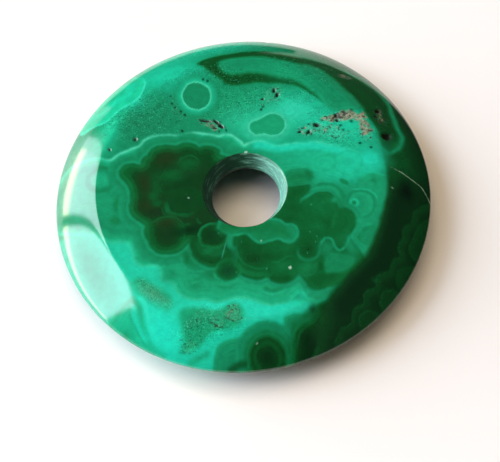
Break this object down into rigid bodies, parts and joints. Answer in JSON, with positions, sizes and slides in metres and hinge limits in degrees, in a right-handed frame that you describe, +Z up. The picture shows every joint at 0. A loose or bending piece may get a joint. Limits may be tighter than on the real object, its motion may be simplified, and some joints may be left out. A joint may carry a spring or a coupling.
{
  "type": "gemstone donut",
  "caption": "Flat round polished malachite donut with a bowed bevel out to a fine rim, and a drilled, countersunk hole a little off its middle.",
  "frame": {"origin": "middle of the flat underside, on the surface that the stone lies on", "axes": "+Z up through the disc's thickness, +X to the right and +Y away from the viewer in the picture's view"},
  "size_m": [0.04, 0.04, 0.0064],
  "materials": {
    "polished_malachite": "polished"
  },
  "bodies": {
    "root": {"stone": "polished_malachite"}
  },
  "joints": []
}
